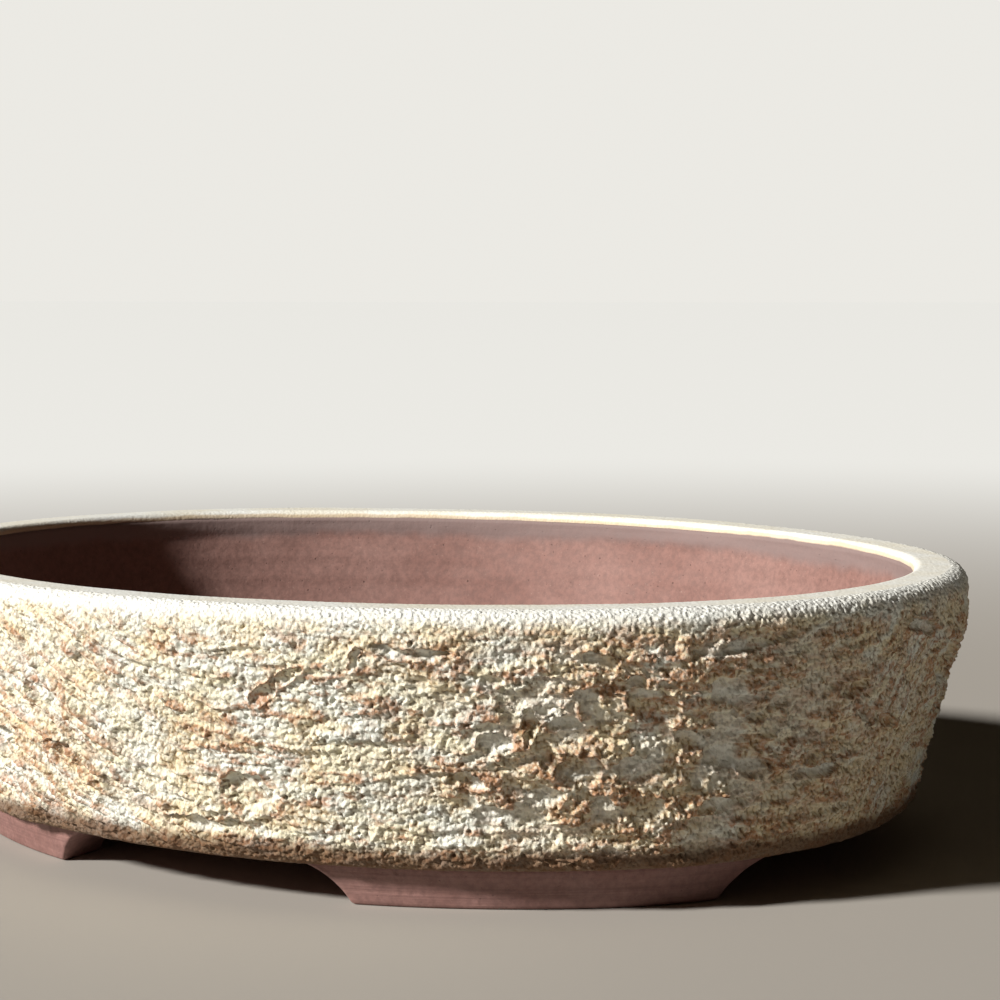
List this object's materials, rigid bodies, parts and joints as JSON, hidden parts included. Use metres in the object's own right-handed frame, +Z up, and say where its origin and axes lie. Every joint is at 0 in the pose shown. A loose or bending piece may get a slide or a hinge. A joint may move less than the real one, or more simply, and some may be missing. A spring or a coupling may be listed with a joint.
{
  "type": "bonsai pot",
  "caption": "Shallow oval bonsai pot with a thick rough bark-like outer coat, a glazed lip, a bare clay inside, drain and wire holes, and bracket feet.",
  "frame": {"origin": "on the ground, under the middle of the pot", "axes": "+X along the length, +Y across to the back, +Z up"},
  "size_m": [0.4, 0.3198, 0.095],
  "materials": {
    "clay_body": "matte",
    "foot_clay": "matte",
    "rough_coat": "matte",
    "lip_glaze": "satin"
  },
  "bodies": {
    "root": {"wall": "clay_body", "floor_slab": "clay_body", "seam_coil": "clay_body", "rough_coat": "rough_coat", "lip_glaze": "lip_glaze", "foot_front_left": "foot_clay", "foot_front_right": "foot_clay", "foot_back_left": "foot_clay", "foot_back_right": "foot_clay"}
  },
  "joints": []
}
